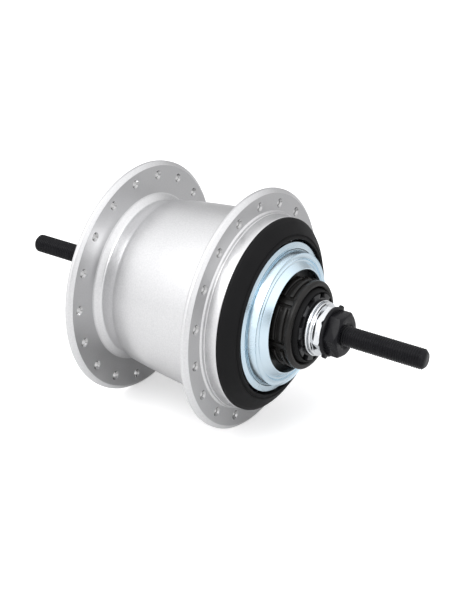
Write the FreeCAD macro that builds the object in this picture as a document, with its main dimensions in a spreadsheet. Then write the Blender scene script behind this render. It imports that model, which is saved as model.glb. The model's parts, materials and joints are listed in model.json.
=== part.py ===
# Internal gear hub for a bicycle's rear wheel.
# The hub's axis is Y. The sprocket (drive) side is at -Y, +Z is up, and the origin is the middle
# of the axle on its axis. Sizes are in millimetres.
# Each turned piece is drawn in its own frame: its X runs along the axis, away from the hub's
# middle, and its Y is the radius. A placement then turns it to the drive side or the left side.

import FreeCAD, Part
import math
import os
import Sketcher

Vector = FreeCAD.Vector
Rotation = FreeCAD.Rotation
Placement = FreeCAD.Placement

doc = FreeCAD.newDocument("internal_gear_hub")
sheet = doc.addObject("Spreadsheet::Sheet", "Sizes")

# Driving dimensions. A length measured "out" is the distance from the hub's middle.
SIZES = {
    # axle
    "axle_length": 230.0,
    "axle_radius": 4.7625,
    "axle_tip_chamfer": 1.3,
    "over_locknut_width": 135.0,
    "core_radius": 7.5,
    "core_left_out": 38.0,
    "right_locknut_height": 7.1,
    "thread_relief": 0.25,
    "channel_angle": 132.0,
    "channel_floor_radius": 5.2,
    "channel_inner_out": 31.0,
    # clearances, and how far a cut runs past the faces that it opens
    "cut_margin": 1.0,
    "thread_clearance": 0.03,
    "running_clearance": 0.05,
    "part_gap": 0.3,
    "side_gap": 0.4,
    # hub shell
    "flange_radius": 59.0,
    "left_flange_radius": 59.6,
    "flange_thickness": 3.5,
    "edge_bevel": 0.7,
    "flange_bevel_height": 2.0,
    "flange_bevel_length": 1.6,
    "right_flange_out": 27.0,
    "left_flange_out": 43.6,
    "barrel_left_radius": 42.6,
    "barrel_right_radius": 46.4,
    "barrel_crown": 420.0,
    "groove_radius": 42.3,
    "bulge_radius": 46.2,
    "bulge_width": 4.4,
    "foot_round": 2.0,
    "bulge_round": 3.2,
    "groove_land": 2.4,
    "collar_radius": 46.9,
    "collar_out": 34.8,
    "collar_step": 0.7,
    "mouth_radius": 43.4,
    "mouth_depth": 12.4,
    "cavity_radius": 40.5,
    "race_seat_radius": 35.5,
    "race_seat_length": 16.0,
    "end_wall": 5.6,
    "boss_radius": 21.5,
    "boss_out": 52.0,
    # spoke holes
    "spoke_edge_distance": 7.0,
    "spoke_hole_radius": 1.5,
    "spoke_hole_count": 18.0,
    "spoke_countersink_radius": 2.3,
    "spoke_hole_phase": -1.2,
    # left bearing
    "left_cup_radius": 17.0,
    "left_cup_length": 8.6,
    "left_cup_seat": 10.2,
    "left_cup_floor": 2.2,
    "left_ball_radius": 3.175,
    "left_ball_count": 9.0,
    "left_ball_circle": 11.6,
    "left_cup_bore": 10.8,
    "left_ball_out": 46.4,
    "left_spacer_length": 2.7,
    "left_cone_body_radius": 10.2,
    "left_cone_neck_radius": 9.4,
    "left_cone_flat_half_width": 7.5,
    "left_flat_depth": 4.0,
    "left_dust_cap_flange": 20.4,
    "left_dust_cap_height": 1.6,
    "left_cone_overhang": 1.0,
    "left_spacer_radius": 8.6,
    # right bearing, between driver and right cone
    "right_ball_radius": 2.38,
    "right_ball_count": 9.0,
    "right_ball_circle": 13.2,
    "right_cup_bore": 12.5,
    "right_ball_inset": 8.2,
    "right_cone_inner_length": 3.6,
    "right_cone_inset": 0.2,
    "right_cone_neck_radius": 10.2,
    # mouth bearing, between shell and ring gear
    "mouth_ball_radius": 2.38,
    "mouth_ball_count": 16.0,
    "mouth_ball_circle": 38.63,
    "mouth_ball_out": 27.6,
    "mouth_race_length": 9.4,
    "cage_wall": 1.4,
    "cage_overhang": 0.5,
    # black dust ring on the shell's mouth
    "dust_ring_radius": 46.7,
    "dust_ring_land": 1.4,
    "dust_ring_face_out": 41.2,
    "dust_ring_face_radius": 39.9,
    "dust_ring_bore": 37.2,
    "dust_ring_wall": 2.2,
    "dust_ring_lip": 2.2,
    "dust_ring_lip_wall": 0.9,
    "dust_ring_step": 0.7,
    # zinc-coloured dust cap on the driver
    "cap_radius": 36.1,
    "cap_rim_out": 42.2,
    "cap_rim_inner_radius": 32.8,
    "cap_ridge_out": 46.6,
    "cap_ridge_radius": 30.6,
    "cap_land_out": 45.9,
    "cap_lip_out": 49.0,
    "cap_hole_radius": 24.8,
    "cap_sheet": 1.0,
    "cap_line": 0.35,
    "cap_ridge_half": 1.4,
    "cap_ridge_round": 1.68,
    "cap_lip": 0.75,
    "cap_lip_foot": 2.25,
    "cap_lip_knee": 1.05,
    "cap_lip_round": 0.525,
    # driver
    "driver_rib_radius": 21.1,
    "driver_groove_radius": 19.7,
    "driver_rim_inset": 3.0,
    "driver_rim_width": 2.6,
    "driver_rib_width_share": 0.19,
    "driver_rib_pitch_share": 0.405,
    "driver_rib_gap_share": 0.16,
    "driver_rib_bevel": 0.3,
    "driver_rim_bevel": 0.8,
    "driver_body_radius": 22.0,
    "driver_flange_radius": 28.8,
    "driver_flange_thickness": 2.0,
    "driver_mouth_radius": 18.1,
    "driver_mouth_depth": 5.0,
    "driver_cup_radius": 16.8,
    "driver_cup_length": 6.6,
    "driver_bore_radius": 12.5,
    "driver_inner_out": 18.6,
    "driver_channel_width": 5.7,
    "driver_key_width": 2.2,
    "driver_key_drop": 0.6,
    "driver_channel_count": 6.0,
    "driver_channel_phase": 40.5,
    "spline_radius": 21.0,
    "spline_root_radius": 19.4,
    "spline_width": 5.0,
    "spline_count": 6.0,
    "circlip_thickness": 1.0,
    "circlip_depth": 0.9,
    "circlip_rise": 1.6,
    "circlip_gap_angle": 40.0,
    "circlip_gap_turn": 30.0,
    "seal_thickness": 1.6,
    "seal_bore_radius": 11.0,
    "seal_line": 0.35,
    "seal_shoulder": 4.4,
    "seal_rise": 6.7,
    "seal_lip_radius": 16.3,
    "seal_lip": 0.6,
    "seal_web": 1.0,
    "bush_length": 8.0,
    "bush_out": 19.0,
    # shift ring and cam
    "shift_disc_thickness": 2.1,
    "shift_disc_radius": 13.8,
    "shift_lug_radius": 15.9,
    "shift_lug_count": 9.0,
    "shift_lug_share": 0.5,
    "finger_angle": 34.0,
    "finger_inner_radius": 5.35,
    "shift_travel": 96.0,
    "cam_length": 6.8,
    "cam_radius": 10.6,
    "cam_ramp_rise": 2.6,
    "cam_ramp_turn": 60.0,
    "cam_ramp_angle": 70.0,
    # gears
    "gear_module": 1.25,
    "pressure_angle": 25.0,
    "tooth_height_share": 0.9,
    "root_gap_share": 0.2,
    "backlash": 0.16,
    "fixed_sun_teeth": 21.0,
    "first_planet_teeth": 15.0,
    "free_sun_teeth": 24.0,
    "second_planet_teeth": 12.0,
    "ring_teeth": 51.0,
    "planet_count": 3.0,
    "gear_width": 10.0,
    "first_gear_middle": 8.0,
    "second_gear_middle": -9.0,
    "planet_pin_radius": 3.0,
    "planet_neck_radius": 5.4,
    "gear_overhang": 1.6,
    "sun_spacer_wall": 2.4,
    "ring_wall_radius": 36.2,
    "ring_inner_radius": 33.8,
    "ring_web_thickness": 3.0,
    "ring_web_out": 20.2,
    "ring_end_out": 31.4,
    # planet carrier
    "carrier_plate_radius": 29.4,
    "carrier_plate_thickness": 2.8,
    "carrier_window_radius": 14.6,
    "carrier_pillar_radius": 4.4,
    "carrier_pillar_circle": 23.6,
    "carrier_hub_radius": 12.0,
    "carrier_hub_end": -36.0,
    # roller clutch between carrier and shell
    "clutch_race_wall": 3.5,
    "clutch_roller_radius": 2.5,
    "clutch_roller_length": 9.0,
    "clutch_roller_count": 8.0,
    "clutch_middle": -29.0,
    "clutch_cam_width": 11.0,
    "clutch_cam_gap": 3.2,
    "clutch_race_overhang": 1.0,
    # locknuts, washers and axle nuts
    "nut_width": 19.0,
    "nut_turn": 25.0,
    "locknut_turn": 46.0,
    "nut_height": 6.3,
    "nut_chamfer": 1.1,
    "nut_chamfer_slope": 0.6,
    "nut_recess_radius": 6.4,
    "nut_recess_depth": 1.0,
    "nut_recess_floor": 0.5,
    "washer_thickness": 1.6,
    "washer_radius": 11.7,
    "washer_ear_radius": 12.8,
    "washer_ear_width": 4.6,
    "washer_ear_turn": 140.0,
    "locknut_base_radius": 13.2,
    "locknut_base_height": 1.4,
    "locknut_groove_radius": 12.1,
    "locknut_groove_width": 0.35,
    "locknut_collar_radius": 12.8,
    "locknut_step_radius": 11.6,
    "left_locknut_height": 6.8,
}
for row, (alias, number) in enumerate(SIZES.items(), start=1):
    sheet.set(f"A{row}", alias)
    sheet.set(f"B{row}", str(number))
    sheet.setAlias(f"B{row}", alias)
doc.recompute()


# Places along the axis that follow from the sizes.
LOCKNUT_FACE = "over_locknut_width / 2"
NUT_FACE = f"{LOCKNUT_FACE} + washer_thickness + nut_height"
CORE_END = f"({LOCKNUT_FACE} - right_locknut_height)"
DRIVER_RIM = f"({CORE_END} - driver_rim_inset)"
RIGHT_CONE_END = f"({DRIVER_RIM} - right_cone_inset)"
LEFT_CONE_END = f"({LOCKNUT_FACE} - left_locknut_height - left_spacer_length)"
LEFT_CONE_STEP = f"(({LEFT_CONE_END} + left_ball_out + left_ball_radius + cage_overhang) / 2)"
BALL_OUT = {
    "left": "left_ball_out",
    "right": f"({DRIVER_RIM} - right_ball_inset)",
    "mouth": "mouth_ball_out",
}


def size(expression):
    """Value of an expression in the sheet's aliases."""
    return float(sheet.evalExpression(expression))


MARGIN = size("cut_margin")


def bound(expression):
    """The same expression as another object of the document reads it."""
    words = []
    word = ""
    for letter in expression + " ":
        if letter.isalnum() or letter == "_":
            word += letter
            continue
        words.append("Sizes." + word if word in SIZES else word)
        words.append(letter)
        word = ""
    return "".join(words).strip()


# Frames of the two sides: local X runs along the axis, away from the middle.
def side_placement(side):
    along = Vector(0, -1, 0) if side == "drive" else Vector(0, 1, 0)
    up = Vector(0, 0, 1)
    return Placement(Vector(0, 0, 0), Rotation(along, up, along.cross(up), "XYZ"))


SUBPARTS = []


def new_body(label, side="drive"):
    body = doc.addObject("PartDesign::Body", label)
    body.Label = label
    body.Placement = side_placement(side)
    SUBPARTS.append(body)
    return body


def origin_plane(body, role):
    return [feature for feature in body.Origin.OriginFeatures if feature.Role == role][0]


def new_sketch(body, name, role="XY_Plane", offset=None, turn=None):
    """Sketch on one of the body's own planes, moved along its normal and turned by expressions."""
    sketch = body.newObject("Sketcher::SketchObject", name)
    sketch.AttachmentSupport = [(origin_plane(body, role), "")]
    sketch.MapMode = "FlatFace"
    if turn is not None:
        sketch.AttachmentOffset = Placement(Vector(0, 0, 0), Rotation(Vector(0, 0, 1), size(turn)))
        sketch.setExpression("AttachmentOffset.Rotation.Angle", bound(turn))
    if offset is not None:
        sketch.setExpression("AttachmentOffset.Base.z", bound(offset))
    return sketch


def arc_between(start, end, radius, turn):
    """Arc from start to end. turn is +1 to turn left along it and -1 to turn right."""
    middle = (start + end) * 0.5
    chord = end - start
    normal = Vector(-chord.y, chord.x, 0).normalize()
    reach = math.sqrt(max(radius * radius - chord.Length * chord.Length / 4, 0))
    centre = middle + normal * reach * turn
    first, last = (start, end) if turn > 0 else (end, start)
    circle = Part.Circle(centre, Vector(0, 0, 1), radius)
    return Part.ArcOfCircle(circle, circle.parameter(first), circle.parameter(last))


def draw_outline(sketch, points):
    """Closed outline. Each point is (x, y) or (x, y, radius, turn) where an arc leaves it."""
    places = [Vector(size(point[0]), size(point[1]), 0) for point in points]
    first = sketch.GeometryCount
    ends = []
    for index, point in enumerate(points):
        start = places[index]
        end = places[(index + 1) % len(places)]
        if len(point) == 2:
            sketch.addGeometry(Part.LineSegment(start, end), False)
            ends.append((1, 2))
        else:
            sketch.addGeometry(arc_between(start, end, size(point[2]), point[3]), False)
            ends.append((1, 2) if point[3] > 0 else (2, 1))
    for index in range(len(points)):
        following = (index + 1) % len(points)
        sketch.addConstraint(
            Sketcher.Constraint("Coincident", first + index, ends[index][1],
                                first + following, ends[following][0]))
    for index, point in enumerate(points):
        for kind, expression, number in (
                ("DistanceX", point[0], places[index].x), ("DistanceY", point[1], places[index].y)):
            row = sketch.addConstraint(
                Sketcher.Constraint(kind, -1, 1, first + index, ends[index][0], number))
            sketch.setExpression(f"Constraints[{row}]", bound(expression))
        if len(point) == 4:
            row = sketch.addConstraint(Sketcher.Constraint("Radius", first + index, size(point[2])))
            sketch.setExpression(f"Constraints[{row}]", bound(point[2]))


def turn_profile(body, name, points, kind="PartDesign::Revolution"):
    """Revolution (or Groove) of a closed outline about the body's X axis."""
    sketch = new_sketch(body, name + "_outline")
    draw_outline(sketch, points)
    feature = body.newObject(kind, name)
    feature.Profile = sketch
    feature.ReferenceAxis = (sketch, ["H_Axis"])
    feature.Angle = 360
    return feature


def turned(label, points, side="drive"):
    body = new_body(label, side)
    turn_profile(body, label + "_turned", points)
    return body


def extruded(body, name, sketch, length, kind="PartDesign::Pad", both=False, backwards=False):
    """Pad or Pocket of a sketch by an expression's length."""
    feature = body.newObject(kind, name)
    feature.Profile = sketch
    feature.setExpression("Length", bound(length))
    feature.Midplane = both
    feature.Reversed = backwards
    return feature


def repeated(body, name, features, count):
    """Polar pattern of features about the body's X axis."""
    pattern = body.newObject("PartDesign::PolarPattern", name)
    pattern.Originals = features
    axis = [item for item in body.Origin.OriginFeatures if item.Role == "X_Axis"][0]
    pattern.Axis = (axis, [""])
    pattern.Angle = 360
    pattern.setExpression("Occurrences", bound(count))
    body.Tip = pattern
    return pattern


def solid_feature(label, shape, side="drive"):
    """A sub-part whose shape comes from the formulas below."""
    feature = doc.addObject("Part::Feature", label)
    feature.Label = label
    place = shape.Placement
    feature.Shape = shape
    feature.Placement = side_placement(side).multiply(place)
    SUBPARTS.append(feature)
    return feature


AXIS = Vector(1, 0, 0)
ORIGIN = Vector(0, 0, 0)


def disc(radius, start, end):
    return Part.makeCylinder(radius, end - start, Vector(start, 0, 0), AXIS)


def ring(outer, inner, start, end):
    return disc(outer, start, end).cut(disc(inner, start - MARGIN, end + MARGIN))


def polar(radius, angle, along=0.0):
    """Point at a radius and an angle (radians) about the axis."""
    return Vector(along, radius * math.cos(angle), radius * math.sin(angle))


def sector(outer, inner, middle_angle, width_angle, start, end):
    """Block between two radii and two angles (degrees)."""
    first = math.radians(middle_angle - width_angle / 2)
    last = math.radians(middle_angle + width_angle / 2)
    centre = math.radians(middle_angle)
    outside = [polar(outer, angle, start) for angle in (first, centre, last)]
    inside = [polar(inner, angle, start) for angle in (last, centre, first)]
    edges = [
        Part.Arc(*outside).toShape(),
        Part.makeLine(outside[-1], inside[0]),
        Part.Arc(*inside).toShape(),
        Part.makeLine(inside[-1], outside[0]),
    ]
    return Part.Face(Part.Wire(edges)).extrude(Vector(end - start, 0, 0))


def involute_angle(radius, base_radius):
    if radius <= base_radius:
        return 0.0
    tangent = math.sqrt(radius * radius - base_radius * base_radius) / base_radius
    return tangent - math.atan(tangent)


def tooth_half_angle(radius, teeth, module, pressure, thinning):
    """Half the angle that an involute tooth takes at a radius."""
    pitch_radius = module * teeth / 2
    base_radius = pitch_radius * math.cos(pressure)
    at_pitch = math.pi / (2 * teeth) - thinning / (2 * pitch_radius)
    return at_pitch + involute_angle(pitch_radius, base_radius) - involute_angle(radius, base_radius)


def gear_wire(teeth, inner_radius, tip_radius, thinning, start_angle, along):
    """Outline of a toothed wheel. Each flank is two straight runs with ends on the involute."""
    module = size("gear_module")
    pressure = math.radians(size("pressure_angle"))
    pitch_radius = module * teeth / 2
    corners = []
    for tooth in range(teeth):
        middle = start_angle + 2 * math.pi * tooth / teeth
        for radius in (inner_radius, pitch_radius, tip_radius):
            half = tooth_half_angle(radius, teeth, module, pressure, thinning)
            corners.append(polar(radius, middle - half, along))
        for radius in (tip_radius, pitch_radius, inner_radius):
            half = tooth_half_angle(radius, teeth, module, pressure, thinning)
            corners.append(polar(radius, middle + half, along))
    return Part.makePolygon(corners + corners[:1])


def external_gear(teeth_name, start_angle, start, end):
    teeth = round(size(teeth_name))
    pitch_radius = size(f"gear_module * {teeth_name} / 2")
    tip_radius = pitch_radius + size("gear_module * tooth_height_share")
    root_radius = pitch_radius - size("gear_module * (tooth_height_share + root_gap_share)")
    wire = gear_wire(teeth, root_radius, tip_radius, size("backlash"), start_angle, start)
    return Part.Face(wire).extrude(Vector(end - start, 0, 0))


def axle():
    """Threaded rod with a thick core. Two channels in the core hold the shift ring's fingers."""
    body = turned("axle", [
        ("-axle_length / 2", "0"),
        ("-axle_length / 2", "axle_radius - axle_tip_chamfer"),
        ("-axle_length / 2 + axle_tip_chamfer", "axle_radius"),
        (f"-({NUT_FACE})", "axle_radius"),
        (f"-({NUT_FACE})", "axle_radius - thread_relief"),
        ("-core_left_out", "axle_radius - thread_relief"),
        ("-core_left_out", "core_radius"),
        (CORE_END, "core_radius"),
        (CORE_END, "axle_radius - thread_relief"),
        (NUT_FACE, "axle_radius - thread_relief"),
        (NUT_FACE, "axle_radius"),
        ("axle_length / 2 - axle_tip_chamfer", "axle_radius"),
        ("axle_length / 2", "axle_radius - axle_tip_chamfer"),
        ("axle_length / 2", "0"),
    ])
    reach = "cos(channel_angle / 2)"
    rise = "sin(channel_angle / 2)"
    outside = "(core_radius + cut_margin)"
    for name, sign in (("Channel_upper", ""), ("Channel_lower", "-")):
        other = "-" if sign == "" else ""
        sketch = new_sketch(body, name, "YZ_Plane", "channel_inner_out")
        draw_outline(sketch, [
            (f"{sign}channel_floor_radius * {reach}", f"{sign}channel_floor_radius * {rise}"),
            (f"{sign}{outside} * {reach}", f"{sign}{outside} * {rise}", outside, -1),
            (f"{sign}{outside} * {reach}", f"{other}{outside} * {rise}"),
            (f"{sign}channel_floor_radius * {reach}", f"{other}channel_floor_radius * {rise}",
             "channel_floor_radius", 1),
        ])
        extruded(body, name + "_cut", sketch, f"{CORE_END} - channel_inner_out + cut_margin",
                 "PartDesign::Pocket", backwards=True)
    return body


def hub_shell():
    """Barrel with two spoke flanges, a ringed left foot and an open mouth on the drive side."""
    left_face = "-left_flange_out + flange_thickness"
    right_face = "right_flange_out - flange_thickness"
    arc_run = "sqrt(pow(bulge_round; 2) - pow(bulge_round - (bulge_radius - groove_radius) / 2; 2))"
    bulge_end = f"{left_face} + bulge_width"
    cavity_end = "-left_flange_out + end_wall"
    body = turned("hub_shell", [
        ("-boss_out", "left_cup_radius"),
        ("-boss_out", "boss_radius - edge_bevel"),
        ("-boss_out + edge_bevel", "boss_radius"),
        ("-left_flange_out - foot_round", "boss_radius"),
        ("-left_flange_out", "boss_radius + foot_round"),
        ("-left_flange_out", "left_flange_radius - edge_bevel"),
        ("-left_flange_out + edge_bevel", "left_flange_radius"),
        (f"{left_face} - flange_bevel_length", "left_flange_radius"),
        (left_face, "left_flange_radius - flange_bevel_height"),
        (left_face, "bulge_radius + foot_round", "foot_round", 1),
        (f"{left_face} + foot_round", "bulge_radius"),
        (bulge_end, "bulge_radius", "bulge_round", -1),
        (f"{bulge_end} + {arc_run}", "(bulge_radius + groove_radius) / 2", "bulge_round", 1),
        (f"{bulge_end} + 2 * {arc_run}", "groove_radius"),
        (f"{bulge_end} + 2 * {arc_run} + groove_land", "barrel_left_radius", "barrel_crown", -1),
        (f"{right_face} - foot_round", "barrel_right_radius"),
        (right_face, "barrel_right_radius + foot_round"),
        (right_face, "flange_radius - edge_bevel"),
        (f"{right_face} + edge_bevel", "flange_radius"),
        ("right_flange_out - flange_bevel_length", "flange_radius"),
        ("right_flange_out", "flange_radius - flange_bevel_height"),
        ("right_flange_out", "collar_radius + 2 * collar_step"),
        ("right_flange_out + collar_step", "collar_radius + collar_step"),
        ("right_flange_out + 3 * collar_step", "collar_radius + collar_step"),
        ("right_flange_out + 3 * collar_step", "collar_radius"),
        ("collar_out - edge_bevel", "collar_radius"),
        ("collar_out", "collar_radius - edge_bevel"),
        ("collar_out", "mouth_radius"),
        ("collar_out - mouth_depth", "mouth_radius"),
        ("collar_out - mouth_depth", "cavity_radius"),
        (f"{cavity_end} + race_seat_length + cavity_radius - race_seat_radius", "cavity_radius"),
        (f"{cavity_end} + race_seat_length", "race_seat_radius"),
        (cavity_end, "race_seat_radius"),
        (cavity_end, "left_cup_radius - left_cup_floor"),
        ("-boss_out + left_cup_seat", "left_cup_radius - left_cup_floor"),
        ("-boss_out + left_cup_seat", "left_cup_radius"),
    ])
    depth = "(spoke_countersink_radius - spoke_hole_radius)"
    for name, near, far, edge, phase in (
            ("Right", right_face, "right_flange_out", "flange_radius", "spoke_hole_phase"),
            ("Left", "-left_flange_out", left_face, "left_flange_radius",
             "spoke_hole_phase + 180 / spoke_hole_count")):
        circle = f"({edge} - spoke_edge_distance)"
        outer = f"{circle} + spoke_countersink_radius"
        straight = f"{circle} + spoke_hole_radius"
        sketch = new_sketch(body, name + "_spoke_hole_outline")
        sketch.AttachmentOffset = Placement(ORIGIN, Rotation(AXIS, size(phase)))
        sketch.setExpression("AttachmentOffset.Rotation.Angle", bound(phase))
        draw_outline(sketch, [
            (near, circle),
            (near, outer),
            (f"{near} + {depth}", straight),
            (f"{far} - {depth}", straight),
            (far, outer),
            (far, circle),
        ])
        row = sketch.addGeometry(Part.LineSegment(
            Vector(size(near), size(circle), 0), Vector(size(far), size(circle), 0)), True)
        sketch.addConstraint(Sketcher.Constraint("Coincident", row, 1, 0, 1))
        sketch.addConstraint(Sketcher.Constraint("Coincident", row, 2, 5, 1))
        hole = body.newObject("PartDesign::Groove", name + "_spoke_hole")
        hole.Profile = sketch
        hole.ReferenceAxis = (sketch, ["Axis0"])
        hole.Angle = 360
        doc.recompute()
        repeated(body, name + "_spoke_holes", [hole], "spoke_hole_count")
    return body


def dust_ring():
    """Black bevelled ring that closes the shell's mouth round the turning cap."""
    lip_radius = "mouth_radius - dust_ring_lip_wall"
    turned("mouth_dust_ring", [
        ("collar_out", "dust_ring_radius"),
        ("collar_out + dust_ring_land", "dust_ring_radius"),
        ("collar_out + 2 * dust_ring_land", "dust_ring_radius - dust_ring_land"),
        ("dust_ring_face_out", "dust_ring_face_radius"),
        ("dust_ring_face_out - dust_ring_step", "dust_ring_face_radius - dust_ring_step"),
        ("dust_ring_face_out + dust_ring_step", "dust_ring_face_radius - 2 * dust_ring_step"),
        ("dust_ring_face_out + dust_ring_step", "dust_ring_bore + dust_ring_step / 2"),
        ("dust_ring_face_out + dust_ring_step / 2", "dust_ring_bore"),
        ("dust_ring_face_out - dust_ring_wall", "dust_ring_bore"),
        ("collar_out + 2 * dust_ring_land - dust_ring_wall", f"{lip_radius} - dust_ring_wall"),
        ("collar_out", lip_radius),
        ("collar_out - dust_ring_lip", lip_radius),
        ("collar_out - dust_ring_lip", "mouth_radius"),
        ("collar_out", "mouth_radius"),
    ])


def driver_cap():
    """Dished sheet cap with a flat rim, a raised ridge, a sunk land and a rolled inner lip."""
    outside = [
        ("cap_rim_out", "cap_radius"),
        ("cap_rim_out", "cap_rim_inner_radius"),
        ("cap_rim_out - cap_line", "cap_rim_inner_radius - cap_line"),
        ("cap_rim_out + cap_line", "cap_rim_inner_radius - 2 * cap_line"),
        ("cap_ridge_out - cap_line", "cap_ridge_radius + cap_ridge_half", "cap_ridge_round", 1),
        ("cap_ridge_out - cap_line", "cap_ridge_radius - cap_ridge_half"),
        ("cap_land_out", "cap_ridge_radius - cap_ridge_half - cap_line"),
        ("cap_land_out", "cap_hole_radius + cap_lip_foot"),
        ("cap_lip_out - cap_lip", "cap_hole_radius + cap_lip_knee"),
        ("cap_lip_out", "cap_hole_radius + cap_lip_round"),
        ("cap_lip_out", "cap_hole_radius"),
    ]
    inside = [
        ("cap_lip_out - cap_sheet", "cap_hole_radius"),
        ("cap_land_out - cap_sheet", "cap_hole_radius + cap_lip_foot - cap_sheet"),
        ("cap_land_out - cap_sheet", "cap_ridge_radius - cap_ridge_half - cap_sheet / 2"),
        ("cap_ridge_out - cap_sheet - 2 * cap_line", "cap_ridge_radius"),
        ("cap_rim_out - cap_sheet", "cap_rim_inner_radius - cap_line - cap_sheet"),
        ("cap_rim_out - cap_sheet", "cap_radius"),
    ]
    turned("driver_dust_cap", outside + inside)


def driver():
    """Sprocket carrier: ribbed nose with six keyways, a bearing seat and inner splines."""
    flange_front = "cap_land_out - cap_sheet"
    flange_back = f"{flange_front} - driver_flange_thickness"
    rim_back = f"{DRIVER_RIM} - driver_rim_width"
    nose = f"({rim_back} - ({flange_front}))"
    rib_width = f"driver_rib_width_share * {nose}"
    second_rib = f"{rim_back} - driver_rib_gap_share * {nose}"
    first_rib = f"{second_rib} - driver_rib_pitch_share * {nose}"
    cup_front = f"{DRIVER_RIM} - driver_mouth_depth"
    body = turned("driver", [
        ("driver_inner_out", "driver_bore_radius"),
        ("driver_inner_out", "spline_root_radius"),
        ("ring_web_out + ring_web_thickness + side_gap", "spline_root_radius"),
        ("ring_web_out + ring_web_thickness + side_gap", "driver_body_radius"),
        (flange_back, "driver_body_radius"),
        (flange_back, "driver_flange_radius"),
        (flange_front, "driver_flange_radius"),
        (flange_front, "driver_groove_radius"),
        (f"{first_rib} - {rib_width}", "driver_groove_radius"),
        (f"{first_rib} - {rib_width}", "driver_rib_radius"),
        (f"{first_rib} - driver_rib_bevel", "driver_rib_radius"),
        (first_rib, "driver_rib_radius - driver_rib_bevel"),
        (first_rib, "driver_groove_radius"),
        (f"{second_rib} - {rib_width}", "driver_groove_radius"),
        (f"{second_rib} - {rib_width}", "driver_rib_radius"),
        (f"{second_rib} - driver_rib_bevel", "driver_rib_radius"),
        (second_rib, "driver_rib_radius - driver_rib_bevel"),
        (second_rib, "driver_groove_radius"),
        (rim_back, "driver_groove_radius"),
        (rim_back, "driver_rib_radius"),
        (f"{DRIVER_RIM} - driver_rim_bevel", "driver_rib_radius"),
        (DRIVER_RIM, "driver_rib_radius - driver_rim_bevel"),
        (DRIVER_RIM, "driver_mouth_radius + driver_rim_bevel"),
        (f"{DRIVER_RIM} - driver_rim_bevel", "driver_mouth_radius"),
        (cup_front, "driver_mouth_radius"),
        (cup_front, "driver_cup_radius"),
        (f"{cup_front} - driver_cup_length", "driver_cup_radius"),
        (f"{cup_front} - driver_cup_length", "driver_bore_radius"),
    ])

    def block(name, kind, start, length, width, low, high, phase, count):
        """Rectangular keyway, key or spline, repeated round the axis."""
        sketch = new_sketch(body, name + "_outline", "YZ_Plane", start, phase)
        draw_outline(sketch, [
            (low, f"-{width} / 2"), (high, f"-{width} / 2"), (high, f"{width} / 2"), (low, f"{width} / 2")])
        feature = extruded(body, name, sketch, length, kind, backwards=kind == "PartDesign::Pocket")
        doc.recompute()
        repeated(body, name + "s", [feature], count)

    channel_floor = "sqrt(pow(driver_groove_radius; 2) - pow(driver_channel_width / 2; 2))"
    block("Keyway", "PartDesign::Pocket", flange_front, nose, "driver_channel_width",
          channel_floor, "driver_rib_radius + cut_margin", "driver_channel_phase", "driver_channel_count")
    block("Key", "PartDesign::Pad", flange_front, nose, "driver_key_width",
          f"({channel_floor} + driver_mouth_radius) / 2", "driver_rib_radius - driver_key_drop",
          "driver_channel_phase", "driver_channel_count")
    block("Spline", "PartDesign::Pad", "driver_inner_out",
          "ring_web_out + ring_web_thickness + side_gap - driver_inner_out", "spline_width",
          "spline_root_radius - cut_margin", "spline_radius", "0", "spline_count")
    turn_profile(body, "Circlip_groove", [
        ("ring_web_out - circlip_thickness - 2 * running_clearance", "spline_root_radius - circlip_depth"),
        ("ring_web_out - circlip_thickness - 2 * running_clearance", "spline_radius + cut_margin"),
        ("ring_web_out", "spline_radius + cut_margin"),
        ("ring_web_out", "spline_root_radius - circlip_depth"),
    ], "PartDesign::Groove")


def driver_fittings():
    """Ball cup, bush, raised bearing cover and circlip that ride with the driver."""
    cup_front = f"{DRIVER_RIM} - driver_mouth_depth"
    cup_back = f"{cup_front} - driver_cup_length"
    turned("driver_ball_cup", cup_outline(
        "right", cup_back, cup_front, "driver_cup_radius", "right_cup_bore"))
    turned("driver_bush", [
        ("bush_out", "core_radius + running_clearance"),
        ("bush_out", "driver_bore_radius"),
        ("bush_out + bush_length", "driver_bore_radius"),
        ("bush_out + bush_length", "core_radius + running_clearance"),
    ])
    foot = f"{cup_front} + seal_thickness"
    shoulder = f"{cup_front} + seal_shoulder"
    top = f"{cup_front} + seal_rise"
    web = f"{DRIVER_RIM} - edge_bevel / 2"
    wall = "driver_mouth_radius - seal_line"
    turned("driver_seal", [
        (cup_front, "driver_cup_radius"),
        (cup_front, "driver_mouth_radius"),
        (foot, "driver_mouth_radius"),
        (foot, wall),
        (shoulder, wall),
        (top, "seal_lip_radius + seal_lip"),
        (top, "seal_lip_radius"),
        (web, "seal_lip_radius"),
        (web, "seal_bore_radius"),
        (f"{web} - seal_web", "seal_bore_radius"),
        (f"{web} - seal_web", "seal_lip_radius - seal_lip"),
        (f"{web} - seal_web - seal_lip", "seal_lip_radius"),
        (foot, "seal_lip_radius"),
    ])
    inner = size("spline_root_radius - circlip_depth")
    back = size("ring_web_out - circlip_thickness - running_clearance")
    clip = ring(size("spline_radius + circlip_rise - circlip_depth"), inner, back,
                size("ring_web_out - running_clearance"))
    gap = sector(size("driver_body_radius + cut_margin"), size("core_radius"), size("circlip_gap_turn"),
                 size("circlip_gap_angle"), back - MARGIN, size("ring_web_out + cut_margin"))
    solid_feature("driver_circlip", clip.cut(gap))


RACE_SHARE = "(sqrt(2) - 1)"


def cone_race(prefix, inner_end):
    """Inner race of an angular bearing: a cylinder and a slope that touch its balls."""
    circle = f"{prefix}_ball_circle"
    radius = f"({prefix}_ball_radius + running_clearance)"
    along = BALL_OUT[prefix]
    return [
        (inner_end, f"{circle} - {radius}"),
        (f"{along} + {radius} * {RACE_SHARE}", f"{circle} - {radius}"),
        (f"{along} + {radius}", f"{circle} - {radius} * {RACE_SHARE}"),
    ]


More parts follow.
